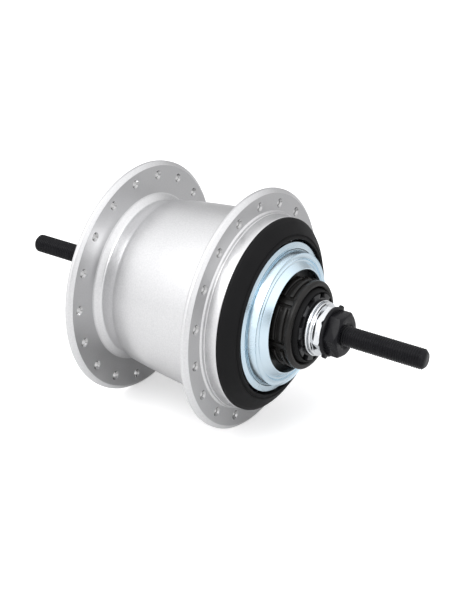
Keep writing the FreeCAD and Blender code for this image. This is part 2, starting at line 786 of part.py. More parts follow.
def cup_outline(prefix, back, front, outer_radius, bore_radius):
    """Outer race of an angular bearing, pressed in a seat."""
    circle = f"{prefix}_ball_circle"
    radius = f"({prefix}_ball_radius + running_clearance)"
    along = BALL_OUT[prefix]
    return [
        (back, bore_radius),
        (back, outer_radius),
        (front, outer_radius),
        (front, f"{circle} + {radius}"),
        (f"{along} - {radius} * {RACE_SHARE}", f"{circle} + {radius}"),
        (f"{along} - {radius}", f"{circle} + {radius} * {RACE_SHARE}"),
        (f"{along} - {radius}", bore_radius),
    ]


def right_cone():
    """Cone screwed on the axle's core: the driver's balls run on it."""
    inner_end = f"{BALL_OUT['right']} - right_cone_inner_length"
    turned("right_cone", [
        (inner_end, "core_radius"),
        *cone_race("right", inner_end),
        (f"{BALL_OUT['right']} + right_ball_radius + cage_overhang", "right_cone_neck_radius"),
        (f"{RIGHT_CONE_END} - edge_bevel", "right_cone_neck_radius"),
        (RIGHT_CONE_END, "right_cone_neck_radius - edge_bevel"),
        (RIGHT_CONE_END, "core_radius"),
    ])


def left_bearing():
    """Cone and spacer on the axle, cup and dust cap in the shell."""
    inner_end = "left_ball_out - left_ball_radius - left_cone_overhang"
    body = turned("left_cone", [
        (inner_end, "axle_radius"),
        *cone_race("left", inner_end),
        ("left_ball_out + left_ball_radius + cage_overhang", "left_cone_body_radius"),
        (LEFT_CONE_STEP, "left_cone_body_radius"),
        (LEFT_CONE_STEP, "left_cone_neck_radius"),
        (LEFT_CONE_END, "left_cone_neck_radius"),
        (LEFT_CONE_END, "axle_radius"),
    ], "left")
    sketch = new_sketch(body, "Spanner_flats", "YZ_Plane", LEFT_CONE_STEP)
    half = "left_cone_flat_half_width"
    for near, far in ((half, f"{half} + left_flat_depth"), (f"-{half} - left_flat_depth", f"-{half}")):
        draw_outline(sketch, [
            ("-left_cone_body_radius", near), ("left_cone_body_radius", near),
            ("left_cone_body_radius", far), ("-left_cone_body_radius", far)])
    extruded(body, "Spanner_flat_cut", sketch, f"{LEFT_CONE_END} - {LEFT_CONE_STEP} + cut_margin",
             "PartDesign::Pocket", backwards=True)
    cup_floor = "boss_out - left_cup_seat"
    turned("left_ball_cup", cup_outline(
        "left", cup_floor, f"{cup_floor} + left_cup_length", "left_cup_radius", "left_cup_bore"), "left")
    turned("left_dust_cap", [
        (f"{cup_floor} + left_cup_length", "left_cone_body_radius + part_gap"),
        (f"{cup_floor} + left_cup_length", "left_cup_radius"),
        ("boss_out", "left_cup_radius"),
        ("boss_out", "left_dust_cap_flange"),
        ("boss_out + cap_sheet", "left_dust_cap_flange - cap_sheet / 2"),
        ("boss_out + left_dust_cap_height", "left_cup_radius - cap_sheet"),
        ("boss_out + left_dust_cap_height", "left_cone_body_radius + part_gap"),
    ], "left")
    turned("left_spacer", [
        (LEFT_CONE_END, "axle_radius + thread_clearance"),
        (LEFT_CONE_END, "left_spacer_radius"),
        ("over_locknut_width / 2 - left_locknut_height", "left_spacer_radius"),
        ("over_locknut_width / 2 - left_locknut_height", "axle_radius + thread_clearance"),
    ], "left")


def hexagon(width):
    """Corners of a hexagon across flats, with flats facing the local Z axis."""
    half = f"{width} / sqrt(3)"
    return [
        (half, "0"), (f"{half} / 2", f"{width} / 2"), (f"-{half} / 2", f"{width} / 2"),
        (f"-{half}", "0"), (f"-{half} / 2", f"-{width} / 2"), (f"{half} / 2", f"-{width} / 2"),
    ]


def hex_piece(label, side, hex_start, hex_height, base, turn):
    """Hexagon with a chamfered end, a bore on the axle and, where base is given, a round base."""
    body = new_body(label, side)
    sketch = new_sketch(body, label + "_hexagon", "YZ_Plane", hex_start, turn)
    draw_outline(sketch, hexagon("nut_width"))
    extruded(body, label + "_block", sketch, hex_height)
    doc.recompute()
    front = f"{hex_start} + {hex_height}"
    corner = "nut_width / sqrt(3) + cut_margin"
    turn_profile(body, label + "_chamfer", [
        (front, "nut_width / 2 - nut_chamfer / 3"),
        (front, corner),
        (f"{front} - ({corner} - nut_width / 2 + nut_chamfer / 3) * nut_chamfer_slope", corner),
    ], "PartDesign::Groove")
    if base:
        turn_profile(body, label + "_base", base)
    return body


def bore(body, label, start, end):
    turn_profile(body, label + "_bore", [
        (start, "0"), (start, "axle_radius + thread_clearance"),
        (end, "axle_radius + thread_clearance"), (end, "0")], "PartDesign::Groove")


def locknuts():
    face = LOCKNUT_FACE
    base_start = CORE_END
    base_end = f"{base_start} + locknut_base_height"
    collar_start = f"{base_end} + locknut_groove_width"
    step = f"{collar_start} + locknut_base_height"
    hex_start = f"{step} + locknut_groove_width"
    body = hex_piece("right_locknut", "drive", hex_start, f"({face} - ({hex_start}))", [
        (base_start, "0"),
        (base_start, "locknut_base_radius - edge_bevel / 2"),
        (f"{base_start} + edge_bevel / 2", "locknut_base_radius"),
        (base_end, "locknut_base_radius"),
        (base_end, "locknut_groove_radius"),
        (collar_start, "locknut_groove_radius"),
        (collar_start, "locknut_collar_radius"),
        (step, "locknut_collar_radius"),
        (step, "locknut_step_radius"),
        (hex_start, "locknut_step_radius"),
        (hex_start, "0"),
    ], "locknut_turn")
    bore(body, "right_locknut", base_start, face)
    left_start = f"{face} - left_locknut_height"
    body = hex_piece("left_locknut", "left", left_start, "left_locknut_height", None, "nut_turn")
    bore(body, "left_locknut", left_start, face)


def washer(label, side):
    """Washer with two small ears that bear in the frame's slot."""
    start = LOCKNUT_FACE
    body = turned(label, [
        (start, "axle_radius + thread_clearance"),
        (start, "washer_radius"),
        (f"{start} + washer_thickness - edge_bevel / 2", "washer_radius"),
        (f"{start} + washer_thickness", "washer_radius - edge_bevel / 2"),
        (f"{start} + washer_thickness", "axle_radius + thread_clearance"),
    ], side)
    sketch = new_sketch(body, label + "_ears", "YZ_Plane", start, "washer_ear_turn")
    for sign in ("", "-"):
        root = f"{sign}(washer_radius - cut_margin)"
        tip = f"{sign}washer_ear_radius"
        draw_outline(sketch, [
            (root, "-washer_ear_width / 2"), (tip, "-washer_ear_width / 4"),
            (tip, "washer_ear_width / 4"), (root, "washer_ear_width / 2")])
    extruded(body, label + "_ear_pad", sketch, "washer_thickness")


def axle_nut(label, side):
    start = f"{LOCKNUT_FACE} + washer_thickness"
    front = f"{start} + nut_height"
    body = hex_piece(label, side, start, "nut_height", None, "nut_turn")
    bore(body, label, start, front)
    turn_profile(body, label + "_recess", [
        (f"{front} - nut_recess_depth", "0"),
        (f"{front} - nut_recess_depth", "axle_radius + nut_recess_floor"),
        (front, "nut_recess_radius"),
        (front, "0"),
    ], "PartDesign::Groove")


def ball(centre, radius):
    """Ball with flat facets, its corners on the true sphere."""
    rows = 4
    around = 8
    rings = []
    for row in range(1, rows):
        height = radius * math.cos(math.pi * row / rows)
        reach = radius * math.sin(math.pi * row / rows)
        rings.append([
            centre + Vector(height, reach * math.cos(2 * math.pi * step / around),
                            reach * math.sin(2 * math.pi * step / around))
            for step in range(around)])
    top = centre + Vector(radius, 0, 0)
    bottom = centre - Vector(radius, 0, 0)
    faces = []
    for step in range(around):
        following = (step + 1) % around
        faces.append(Part.Face(Part.makePolygon([top, rings[0][step], rings[0][following], top])))
        faces.append(Part.Face(Part.makePolygon(
            [bottom, rings[-1][following], rings[-1][step], bottom])))
        for upper, lower in zip(rings, rings[1:]):
            faces.append(Part.Face(Part.makePolygon(
                [upper[step], lower[step], lower[following], upper[following], upper[step]])))
    return Part.makeSolid(Part.makeShell(faces))


def ball_ring(label, circle, radius, count, along, side):
    """Balls of one bearing as separate solids."""
    balls = [ball(polar(circle, 2 * math.pi * step / count, along), radius) for step in range(count)]
    solid_feature(label, Part.makeCompound(balls), side)


def ball_cage(label, circle, radius, count, along, side):
    """Thin retainer ring with a round pocket for each ball."""
    wall = size("cage_wall") / 2
    cage = ring(circle + wall, circle - wall, along - radius / 4, along + radius + size("cage_overhang"))
    pocket_radius = radius + size("running_clearance")
    pockets = [
        Part.makeCylinder(pocket_radius, 4 * wall, polar(circle - 2 * wall, angle, along), polar(1, angle))
        for angle in (2 * math.pi * step / count for step in range(count))]
    solid_feature(label, cage.cut(pockets), side)


def bearings():
    for name, prefix, side in (
            ("left", "left", "left"), ("driver", "right", "drive"), ("mouth", "mouth", "drive")):
        circle = size(f"{prefix}_ball_circle")
        radius = size(f"{prefix}_ball_radius")
        count = round(size(f"{prefix}_ball_count"))
        along = size(BALL_OUT[prefix])
        ball_ring(f"{name}_balls", circle, radius, count, along, side)
        ball_cage(f"{name}_ball_cage", circle, radius, count, along, side)
    start = "collar_out - mouth_depth"
    turned("mouth_ball_race", cup_outline(
        "mouth", start, f"{start} + mouth_race_length", "mouth_radius",
        "mouth_ball_circle + cage_wall"))


def shift_parts():
    """Castellated shift ring with two fingers, and the cam sleeve that they turn."""
    face = size(f"{RIGHT_CONE_END} + side_gap")
    end = face + size("shift_disc_thickness")
    inner = size("core_radius + running_clearance")
    disc_body = ring(size("shift_disc_radius"), inner, face, end)
    count = round(size("shift_lug_count"))
    pieces = []
    for lug in range(count):
        pieces.append(sector(size("shift_lug_radius"), size("shift_disc_radius - cut_margin"),
                             360 * lug / count, 360 / count * size("shift_lug_share"), face, end))
    finger_start = size("channel_inner_out + cam_length + side_gap")
    swing = size("shift_travel / 2")
    for middle in (-swing, 180 - swing):
        pieces.append(sector(size("core_radius - running_clearance"), size("finger_inner_radius"), middle,
                             size("finger_angle"), finger_start, end))
        pieces.append(sector(size("core_radius + 2 * cut_margin"), size("core_radius - cut_margin"), middle,
                             size("finger_angle"), face, end))
    solid_feature("shift_ring", disc_body.fuse(pieces).removeSplitter())
    cam_end = finger_start
    cam_start = size("channel_inner_out + side_gap")
    sleeve = ring(size("cam_radius"), inner, cam_start, cam_end)
    ramp = sector(size("cam_radius + cam_ramp_rise / 2"), size("cam_radius - cut_margin"),
                  size("cam_ramp_turn"), size("cam_ramp_angle"), cam_start,
                  cam_start + size("cam_ramp_rise"))
    keys = [sector(inner + MARGIN, size("finger_inner_radius"), middle, size("finger_angle"),
                   cam_start, cam_end)
            for middle in (-swing, 180 - swing)]
    solid_feature("cam_sleeve", sleeve.fuse([ramp] + keys).removeSplitter())


def gears():
    """Sun gears on the core, stepped planet gears round them and the ring gear outside."""
    half = size("gear_width / 2")
    first = size("first_gear_middle")
    second = size("second_gear_middle")
    core = size("core_radius")
    centre_distance = size("gear_module * (fixed_sun_teeth + first_planet_teeth) / 2")
    fixed_bore = disc(core + size("thread_clearance"), first - half - MARGIN, first + half + MARGIN)
    solid_feature("fixed_sun_gear", external_gear("fixed_sun_teeth", 0, first - half, first + half)
                  .cut(fixed_bore))
    free_bore = disc(core + size("running_clearance"), second - half - MARGIN, second + half + MARGIN)
    solid_feature("free_sun_gear", external_gear("free_sun_teeth", 0, second - half, second + half)
                  .cut(free_bore))
    solid_feature("sun_spacer", ring(size("core_radius + sun_spacer_wall"), core + size("thread_clearance"),
                                     second + half + size("part_gap"), first - half - size("part_gap")))
    mesh_gap = size("part_gap")
    planet_end = first + half + size("gear_overhang")
    planet_start = second - half - size("gear_overhang")
    first_step = external_gear("first_planet_teeth", planet_phase("first_planet_teeth"),
                               first - half + mesh_gap, first + half - mesh_gap)
    second_step = external_gear("second_planet_teeth", planet_phase("second_planet_teeth"),
                                second - half + mesh_gap, second + half - mesh_gap)
    neck = disc(size("planet_neck_radius"), planet_start, planet_end)
    pin_hole = disc(size("planet_pin_radius + running_clearance"),
                    planet_start - MARGIN, planet_end + MARGIN)
    planet = first_step.fuse([second_step, neck]).removeSplitter().cut(pin_hole)
    count = round(size("planet_count"))
    for number in range(count):
        placed = planet.copy()
        placed.translate(Vector(0, centre_distance, 0))
        placed.rotate(ORIGIN, AXIS, 360 * number / count)
        solid_feature(f"planet_gear_{number + 1}", placed)
    ring_teeth = round(size("ring_teeth"))
    pitch_radius = size("gear_module * ring_teeth / 2")
    tip_radius = pitch_radius - size("gear_module * tooth_height_share")
    root_radius = pitch_radius + size("gear_module * (tooth_height_share + root_gap_share)")
    space_wire = gear_wire(ring_teeth, tip_radius, root_radius, -size("backlash"), 0.0, first - half)
    space = Part.Face(space_wire).extrude(Vector(2 * half, 0, 0))
    web_start = size("ring_web_out")
    web_end = size("ring_web_out + ring_web_thickness")
    wall = size("ring_wall_radius")
    shell = disc(wall, first - half, size("ring_end_out"))
    relief = disc(size("ring_inner_radius"), first + half, web_start)
    mouth = disc(size("ring_inner_radius"), web_end, size("ring_end_out + cut_margin"))
    dog_bore = disc(size("spline_root_radius + 2 * running_clearance"),
                    web_start - MARGIN, web_end + MARGIN)
    slots = []
    splines = round(size("spline_count"))
    for number in range(splines):
        slot = Part.makeBox(
            size("ring_web_thickness + 2 * cut_margin"), size("spline_width + 4 * running_clearance"),
            size("spline_radius + 2 * running_clearance"),
            Vector(web_start - MARGIN, -size("spline_width / 2 + 2 * running_clearance"), 0))
        slot.rotate(ORIGIN, AXIS, 90 + 360 * number / splines)
        slots.append(slot)
    solid_feature("ring_gear", shell.cut([space, relief, mouth, dog_bore] + slots))


def planet_phase(teeth_name):
    """A space of the planet faces the hub's axis, where the sun gear has a tooth."""
    teeth = round(size(teeth_name))
    return math.pi + math.pi / teeth


def carrier():
    """Two plates joined by pillars, with a hub that carries the roller clutch."""
    right_face = size("first_gear_middle + gear_width / 2 + gear_overhang + side_gap")
    left_face = size("second_gear_middle - gear_width / 2 - gear_overhang - side_gap")
    thickness = size("carrier_plate_thickness")
    plate = size("carrier_plate_radius")
    hub = size("carrier_hub_radius")
    inner = size("core_radius + running_clearance")
    right_plate = ring(plate, size("carrier_window_radius"), right_face, right_face + thickness)
    left_plate = ring(plate, inner, left_face - thickness, left_face)
    hub_tube = ring(hub, inner, size("carrier_hub_end"), left_face - thickness)
    count = round(size("planet_count"))
    pillars = [
        Part.makeCylinder(size("carrier_pillar_radius"), right_face - left_face,
                          polar(size("carrier_pillar_circle"), 2 * math.pi * (step + 0.5) / count,
                                left_face), AXIS)
        for step in range(count)]
    centre_distance = size("gear_module * (fixed_sun_teeth + first_planet_teeth) / 2")
    pin_holes = [
        Part.makeCylinder(size("planet_pin_radius"), right_face - left_face + 4 * thickness,
                          polar(centre_distance, 2 * math.pi * step / count, left_face - 2 * thickness), AXIS)
        for step in range(count)]
    body = right_plate.fuse([left_plate, hub_tube] + pillars).removeSplitter().cut(pin_holes)
    solid_feature("planet_carrier", body)
    pins = [
        Part.makeCylinder(size("planet_pin_radius"), right_face - left_face + 2 * thickness,
                          polar(centre_distance, 2 * math.pi * step / count, left_face - thickness), AXIS)
        for step in range(count)]
    solid_feature("planet_pins", Part.makeCompound(pins))


def clutch():
    """Roller clutch: ramps on the carrier wedge rollers against a race in the shell."""
    middle = size("clutch_middle")
    half = size("clutch_cam_width / 2")
    roller = size("clutch_roller_radius")
    race = size("race_seat_radius - clutch_race_wall")
    cam_radius = race - size("clutch_cam_gap")
    roller_circle = race - roller - size("part_gap")
    count = round(size("clutch_roller_count"))
    cam = ring(cam_radius, size("carrier_hub_radius"), middle - half, middle + half)
    ramps = []
    for step in range(count):
        seat = Part.makeBox(2 * (half + MARGIN), 4 * roller, 2 * roller,
                            Vector(middle - half - MARGIN, -2 * roller, roller_circle - roller))
        seat.rotate(ORIGIN, AXIS, 360 * step / count)
        ramps.append(seat)
    solid_feature("clutch_cam", cam.cut(ramps))
    roller_half = size("clutch_roller_length / 2")
    rollers = []
    for step in range(count):
        angle = 2 * math.pi * step / count + math.pi / 2
        rollers.append(Part.makeCylinder(roller, 2 * roller_half,
                                         polar(roller_circle, angle, middle - roller_half), AXIS))
    solid_feature("clutch_rollers", Part.makeCompound(rollers))
    cage = ring(race - size("part_gap"), cam_radius + size("part_gap"), middle - half, middle + half)
    pockets = []
    for step in range(count):
        pocket = Part.makeBox(2 * roller_half + 2 * size("part_gap"), 2 * (roller + size("part_gap")),
                              2 * race, Vector(middle - roller_half - size("part_gap"),
                                               -roller - size("part_gap"), 0))
        pocket.rotate(ORIGIN, AXIS, 360 * step / count)
        pockets.append(pocket)
    solid_feature("clutch_cage", cage.cut(pockets))
    overhang = size("clutch_race_overhang")
    solid_feature("clutch_race", ring(size("race_seat_radius"), race, middle - half - overhang,
                                      middle + half + overhang))


def build():
    axle()
    hub_shell()
    dust_ring()
    driver_cap()
    driver()
    driver_fittings()
    right_cone()
    left_bearing()
    locknuts()
    washer("right_washer", "drive")
    washer("left_washer", "left")
    axle_nut("right_axle_nut", "drive")
    axle_nut("left_axle_nut", "left")
    bearings()
    shift_parts()
    gears()
    carrier()
    clutch()


build()
doc.recompute()
for item in doc.Objects:
    if "Invalid" in item.State or "Error" in item.State:
        raise RuntimeError(f"{item.Name} did not build: {item.State}")
os.makedirs("parts", exist_ok=True)
for part in SUBPARTS:
    if part.Shape.isNull() or not part.Shape.isValid():
        raise RuntimeError(f"{part.Label} has no sound shape")
for part in SUBPARTS:
    part.Shape.exportStep(f"parts/{part.Label}.step")
    print(part.Label, len(part.Shape.Solids), round(part.Shape.Volume, 1))
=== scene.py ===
import json
import math
from collections import namedtuple

import bmesh
import bpy
from mathutils import Matrix, Vector

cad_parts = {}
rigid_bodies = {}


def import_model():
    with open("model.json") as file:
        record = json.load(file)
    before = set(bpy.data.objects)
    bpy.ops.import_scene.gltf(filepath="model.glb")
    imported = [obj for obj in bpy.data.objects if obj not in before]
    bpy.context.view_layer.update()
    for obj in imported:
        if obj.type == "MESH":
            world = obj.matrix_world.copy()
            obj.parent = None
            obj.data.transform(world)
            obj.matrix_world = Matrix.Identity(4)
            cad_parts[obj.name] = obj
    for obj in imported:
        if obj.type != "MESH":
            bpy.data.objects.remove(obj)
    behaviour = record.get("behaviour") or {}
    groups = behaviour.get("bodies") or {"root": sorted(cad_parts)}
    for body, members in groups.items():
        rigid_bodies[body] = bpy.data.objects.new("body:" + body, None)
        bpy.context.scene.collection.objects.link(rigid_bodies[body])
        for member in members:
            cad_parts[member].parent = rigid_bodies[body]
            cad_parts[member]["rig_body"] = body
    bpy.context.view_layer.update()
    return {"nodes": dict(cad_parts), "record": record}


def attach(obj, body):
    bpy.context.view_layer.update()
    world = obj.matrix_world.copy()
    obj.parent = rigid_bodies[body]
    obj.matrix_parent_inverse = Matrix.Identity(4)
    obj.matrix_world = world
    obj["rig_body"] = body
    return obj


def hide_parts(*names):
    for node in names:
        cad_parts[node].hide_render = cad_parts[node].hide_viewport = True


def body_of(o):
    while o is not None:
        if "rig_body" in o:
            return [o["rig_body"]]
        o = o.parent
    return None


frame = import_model()

# Sizes and places are in millimetres, and the named angles in degrees. "out" is the distance from the
# hub's middle towards the drive side (world -Y).
MM = 0.001
TURNED_SIDES = 240
SHARP_ANGLE = 28
FLAT_ANGLE = 1
SAME_POINT = 0.001
NOISE_SPREAD = (0.3, 0.7)


# Geometry helpers
def metres(place):
    return Vector([value * MM for value in place])


def arc(start, end, radius, turn, steps):
    """Points along an arc between two points; turn is +1 to the left and -1 to the right."""
    start, end = Vector(start), Vector(end)
    chord = end - start
    normal = Vector((-chord.y, chord.x)).normalized()
    centre = (start + end) / 2 + normal * turn * math.sqrt(radius ** 2 - chord.length_squared / 4)
    first = math.atan2(start.y - centre.y, start.x - centre.x)
    last = math.atan2(end.y - centre.y, end.x - centre.x)
    if turn > 0 and last < first:
        last += 2 * math.pi
    if turn < 0 and last > first:
        last -= 2 * math.pi
    return [(centre.x + radius * math.cos(first + (last - first) * step / steps),
             centre.y + radius * math.sin(first + (last - first) * step / steps))
            for step in range(steps + 1)]


def rounded(points, steps=4):
    """Closed outline with its corners rounded. A point is (out, radius) or (out, radius, rounding)."""
    made = []
    for index, point in enumerate(points):
        here = Vector(point[:2])
        if len(point) < 3:
            made.append(tuple(here))
            continue
        before = (Vector(points[index - 1][:2]) - here).normalized()
        after = (Vector(points[(index + 1) % len(points)][:2]) - here).normalized()
        half = before.angle(after) / 2
        reach = point[2] / math.tan(half)
        centre = here + (before + after).normalized() * point[2] / math.sin(half)
        first = here + before * reach - centre
        sweep = first.angle_signed(here + after * reach - centre)
        for step in range(steps + 1):
            turned_by = first.copy()
            turned_by.rotate(Matrix.Rotation(-sweep * step / steps, 2))
            made.append(tuple(centre + turned_by))
    return made


def join_rings(mesh, rings):
    """Faces between each ring of vertices and the next one. A ring of one vertex closes an end."""
    for ring, following in zip(rings, rings[1:]):
        sides = max(len(ring), len(following))
        for side in range(sides):
            after = (side + 1) % sides
            corners = (ring[side % len(ring)], ring[after % len(ring)],
                       following[after % len(following)], following[side % len(following)])
            mesh.faces.new(tuple(dict.fromkeys(corners)))


def shade(data, sharp_angle):
    """Smooth shading that keeps the edges that are sharper than an angle in degrees."""
    for face in data.polygons:
        face.use_smooth = True
    data.set_sharp_from_angle(angle=math.radians(sharp_angle))


def finish_mesh(mesh, name, sharp_angle=SHARP_ANGLE):
    """Turns a finished form into an object in the scene."""
    mesh.normal_update()
    bmesh.ops.recalc_face_normals(mesh, faces=mesh.faces)
    data = bpy.data.meshes.new(name)
    mesh.to_mesh(data)
    mesh.free()
    shade(data, sharp_angle)
    item = bpy.data.objects.new(name, data)
    bpy.context.scene.collection.objects.link(item)
    return item


def turned(name, outline, sharp_angle=SHARP_ANGLE):
    """Closed outline of (out, radius) turned about the hub's axis."""
    mesh = bmesh.new()
    rings = []
    for out, radius in outline:
        ring = []
        for side in range(TURNED_SIDES):
            angle = 2 * math.pi * side / TURNED_SIDES
            ring.append(mesh.verts.new((
                -radius * math.sin(angle) * MM, -out * MM, radius * math.cos(angle) * MM)))
        rings.append(ring)
    join_rings(mesh, rings + rings[:1])
    return finish_mesh(mesh, name, sharp_angle)


def place(item, body, node, slot):
    """Rides a new piece on its body in the place of a CAD node."""
    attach(item, body)
    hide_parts(node)
    if not item.data.materials:
        item.data.materials.append(FINISHES[slot])


# Shader helpers
def add_node(tree, kind, **inputs):
    """New node. A value that is another node's socket is linked, and any other value is set."""
    made = tree.nodes.new(kind)
    for socket, value in inputs.items():
        where = made.inputs[socket.replace("_", " ")]
        if isinstance(value, bpy.types.NodeSocket):
            tree.links.new(value, where)
        else:
            where.default_value = value
    return made


def map_range(tree, value, start, end, low, high):
    """Goes from low to high while the value goes from start to end."""
    made = add_node(tree, "ShaderNodeMapRange", Value=value, From_Min=start, From_Max=end,
                    To_Min=low, To_Max=high)
    return made.outputs["Result"]


def towards(tree, vector, side):
    """How far a vector reaches towards a side."""
    made = tree.nodes.new("ShaderNodeVectorMath")
    made.operation = "DOT_PRODUCT"
    made.inputs[1].default_value = Vector(side).normalized()
    tree.links.new(vector, made.inputs[0])
    return made.outputs["Value"]


def camera_sees(tree, seen, unseen):
    """One shader for what the camera sees, and another for what lights the scene and is reflected."""
    rays = tree.nodes.new("ShaderNodeLightPath")
    mix = add_node(tree, "ShaderNodeMixShader", Fac=rays.outputs["Is Camera Ray"])
    tree.links.new(unseen, mix.inputs[1])
    tree.links.new(seen, mix.inputs[2])
    return mix.outputs["Shader"]


class Finish:
    """A material built up from noise, bump and the shader's own sockets."""

    def __init__(self, name, colour, metallic, roughness, **sockets):
        self.material = bpy.data.materials.new(name)
        self.material.use_nodes = True
        self.tree = self.material.node_tree
        self.shader = self.tree.nodes["Principled BSDF"]
        self.shader.inputs["Base Color"].default_value = (*colour, 1)
        self.shader.inputs["Metallic"].default_value = metallic
        self.shader.inputs["Roughness"].default_value = roughness
        for socket, value in sockets.items():
            self.shader.inputs[socket.replace("_", " ")].default_value = value
        self.colour = colour
        self.height = None
        self.place = self.tree.nodes.new("ShaderNodeTexCoord").outputs["Object"]

    def noise(self, scale, detail=2.0, vector=None):
        """Cloudy pattern. The scale counts its spots along a metre."""
        made = add_node(self.tree, "ShaderNodeTexNoise", Scale=scale, Detail=detail,
                        Vector=vector or self.place)
        return made.outputs["Fac"]

    def lathe_lines(self, scale, detail=2.0):
        """Noise that runs round the hub's axis, like the marks of a lathe."""
        split = add_node(self.tree, "ShaderNodeSeparateXYZ", Vector=self.place)
        flat = add_node(self.tree, "ShaderNodeCombineXYZ", X=split.outputs["X"], Z=split.outputs["Z"])
        radius = add_node(self.tree, "ShaderNodeVectorMath", Vector=flat.outputs["Vector"])
        radius.operation = "LENGTH"
        section = add_node(self.tree, "ShaderNodeCombineXYZ", X=radius.outputs["Value"],
                           Y=split.outputs["Y"])
        return self.noise(scale, detail, section.outputs["Vector"])

    def bump(self, pattern, height_mm, strength):
        """Adds a relief to the ones that are there."""
        made = add_node(self.tree, "ShaderNodeBump", Height=pattern, Strength=strength,
                        Distance=height_mm * MM)
        if self.height is not None:
            self.tree.links.new(self.height, made.inputs["Normal"])
        self.height = made.outputs["Normal"]
        self.tree.links.new(self.height, self.shader.inputs["Normal"])

    def vary_roughness(self, pattern, low, high):
        """Lets the roughness follow a pattern in place of the material's one value."""
        varied = map_range(self.tree, pattern, *NOISE_SPREAD, low, high)
        self.tree.links.new(varied, self.shader.inputs["Roughness"])

    def stain(self, pattern, share, colour):
        """Mixes in another colour, by the given share at most where the pattern is high."""
        mix = self.tree.nodes.new("ShaderNodeMix")
        mix.data_type = "RGBA"
        factor, first, second = mix.inputs[0], mix.inputs[6], mix.inputs[7]
        first.default_value = (*self.colour, 1)
        second.default_value = (*colour, 1)
        self.tree.links.new(map_range(self.tree, pattern, *NOISE_SPREAD, 0.0, share), factor)
        self.tree.links.new(mix.outputs[2], self.shader.inputs["Base Color"])


# Materials
def blasted_aluminium():
    """Bright blasted casting: fine grain, a slight waviness and a cloudy shine."""
    finish = Finish("blasted_aluminium", (0.76, 0.76, 0.765), metallic=0.95, roughness=0.33)
    finish.bump(finish.noise(1500), height_mm=0.022, strength=0.7)
    finish.bump(finish.noise(160), height_mm=0.015, strength=0.06)
    finish.vary_roughness(finish.noise(90, 3), 0.3, 0.36)
    finish.stain(finish.noise(1300), 0.6, (0.64, 0.642, 0.648))
    return finish.material


def turned_aluminium_painted_shade():
    """The flanges' flat faces: lathe lines that stretch the reflections across them, and a base colour
    darker than the casting's that is painted shade.
    """
    finish = Finish("turned_aluminium_painted_shade", (0.54, 0.54, 0.545), metallic=0.95, roughness=0.38,
                    Anisotropic=0.6, Anisotropic_Rotation=0.25)
    finish.bump(finish.lathe_lines(2600, 3), height_mm=0.01, strength=0.5)
    finish.bump(finish.noise(1500), height_mm=0.015, strength=0.5)
    finish.vary_roughness(finish.noise(90, 3), 0.35, 0.42)
    finish.stain(finish.noise(1300), 0.6, (0.49, 0.492, 0.498))
    tangent = finish.tree.nodes.new("ShaderNodeTangent")
    tangent.direction_type = "RADIAL"
    tangent.axis = "Y"
    finish.tree.links.new(tangent.outputs["Tangent"], finish.shader.inputs["Tangent"])
    return finish.material


def drilled_aluminium_painted_shade():
    """The smooth walls of the spoke holes, with a dark base colour that is painted shade in the holes."""
    finish = Finish("drilled_aluminium_painted_shade", (0.45, 0.45, 0.45), metallic=1.0, roughness=0.12)
    finish.bump(finish.noise(2200), height_mm=0.006, strength=0.5)
    finish.vary_roughness(finish.noise(500), 0.08, 0.16)
    return finish.material


def black_plastic():
    finish = Finish("moulded_black_plastic", (0.0085, 0.0085, 0.009), metallic=0.0, roughness=0.5,
                    Specular_IOR_Level=0.08)
    finish.bump(finish.noise(3200), height_mm=0.01, strength=0.4)
    finish.vary_roughness(finish.noise(120, 3), 0.46, 0.56)
    finish.stain(finish.noise(70, 3), 0.4, (0.013, 0.013, 0.0135))
    return finish.material


def blue_zinc():
    finish = Finish("blue_passivated_zinc", (0.64, 0.79, 0.89), metallic=1.0, roughness=0.24)
    finish.bump(finish.lathe_lines(3000), height_mm=0.002, strength=0.35)
    finish.vary_roughness(finish.noise(150, 3), 0.19, 0.28)
    finish.stain(finish.noise(60, 3), 0.5, (0.78, 0.87, 0.92))
    return finish.material


def black_oxide():
    finish = Finish("black_oxide_driver", (0.0085, 0.008, 0.0075), metallic=0.0, roughness=0.34,
                    Specular_IOR_Level=0.22)
    finish.bump(finish.noise(1800, 3), height_mm=0.012, strength=0.5)
    finish.vary_roughness(finish.noise(300, 3), 0.27, 0.4)
    finish.stain(finish.noise(150, 3), 0.6, (0.02, 0.019, 0.018))
    return finish.material


def black_steel():
    finish = Finish("black_plated_steel", (0.006, 0.006, 0.0075), metallic=0.0, roughness=0.28,
                    Specular_IOR_Level=0.14)
    finish.bump(finish.noise(2200, 3), height_mm=0.008, strength=0.4)
    finish.vary_roughness(finish.noise(260, 3), 0.22, 0.34)
    finish.stain(finish.noise(200, 3), 0.5, (0.014, 0.014, 0.016))
    return finish.material


def bright_zinc():
    finish = Finish("bright_zinc_plate", (0.80, 0.82, 0.84), metallic=1.0, roughness=0.16)
    finish.bump(finish.noise(1500, 3), height_mm=0.006, strength=0.5)
    finish.vary_roughness(finish.noise(400, 3), 0.1, 0.22)
    finish.stain(finish.noise(300, 3), 0.5, (0.68, 0.71, 0.74))
    return finish.material


def dark_shift_ring():
    finish = Finish("dark_shift_ring", (0.012, 0.012, 0.0135), metallic=0.0, roughness=0.4,
                    Specular_IOR_Level=0.45)
    finish.bump(finish.noise(1600, 3), height_mm=0.01, strength=0.5)
    finish.vary_roughness(finish.noise(300), 0.34, 0.48)
    finish.stain(finish.noise(240), 0.5, (0.02, 0.02, 0.022))
    return finish.material


def bearing_steel():
    finish = Finish("ground_bearing_steel", (0.56, 0.56, 0.57), metallic=1.0, roughness=0.25)
    finish.bump(finish.lathe_lines(4000), height_mm=0.003, strength=0.5)
    finish.vary_roughness(finish.noise(400), 0.2, 0.32)
    return finish.material


